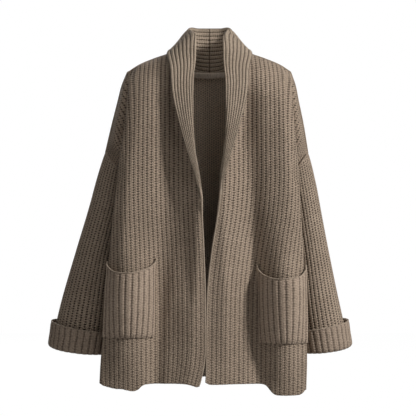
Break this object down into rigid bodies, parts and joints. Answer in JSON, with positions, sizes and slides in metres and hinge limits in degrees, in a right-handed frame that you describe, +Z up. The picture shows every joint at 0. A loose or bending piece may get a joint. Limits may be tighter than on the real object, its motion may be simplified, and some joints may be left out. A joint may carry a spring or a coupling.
{
  "type": "shawl collar cardigan",
  "caption": "Open-front thick ribbed knit cardigan with a shawl collar, wide turned-back cuffs and patch pockets, hollow as if worn",
  "frame": {"origin": "between the shoulders at the height of the back neck seam, where the neck of a wearer or a hanger holds the garment; most of it hangs below", "axes": "+Z up towards the collar, the front faces -Y, +X towards the right of the front view"},
  "size_m": [0.7118, 0.2547, 0.8573],
  "materials": {
    "body_knit": "matt fisherman rib in a thick brown-grey wool blend",
    "sleeve_knit": "the same matt fisherman rib, running down the sleeve",
    "cuff_knit": "the same rib turned back on itself",
    "pocket_knit": "the same rib, a little broader and closer, with a plain turned top",
    "collar_knit": "a finer, firmer one and one rib",
    "neck_tape": "a smooth narrow knitted tape"
  },
  "bodies": {
    "root": {"back": "body_knit", "front_left": "body_knit", "front_right": "body_knit", "sleeve_left": "sleeve_knit", "sleeve_right": "sleeve_knit", "cuff_left": "cuff_knit", "cuff_right": "cuff_knit", "pocket_left": "pocket_knit", "pocket_right": "pocket_knit", "collar_left": "collar_knit", "collar_right": "collar_knit", "neck_band": "neck_tape"}
  },
  "joints": []
}
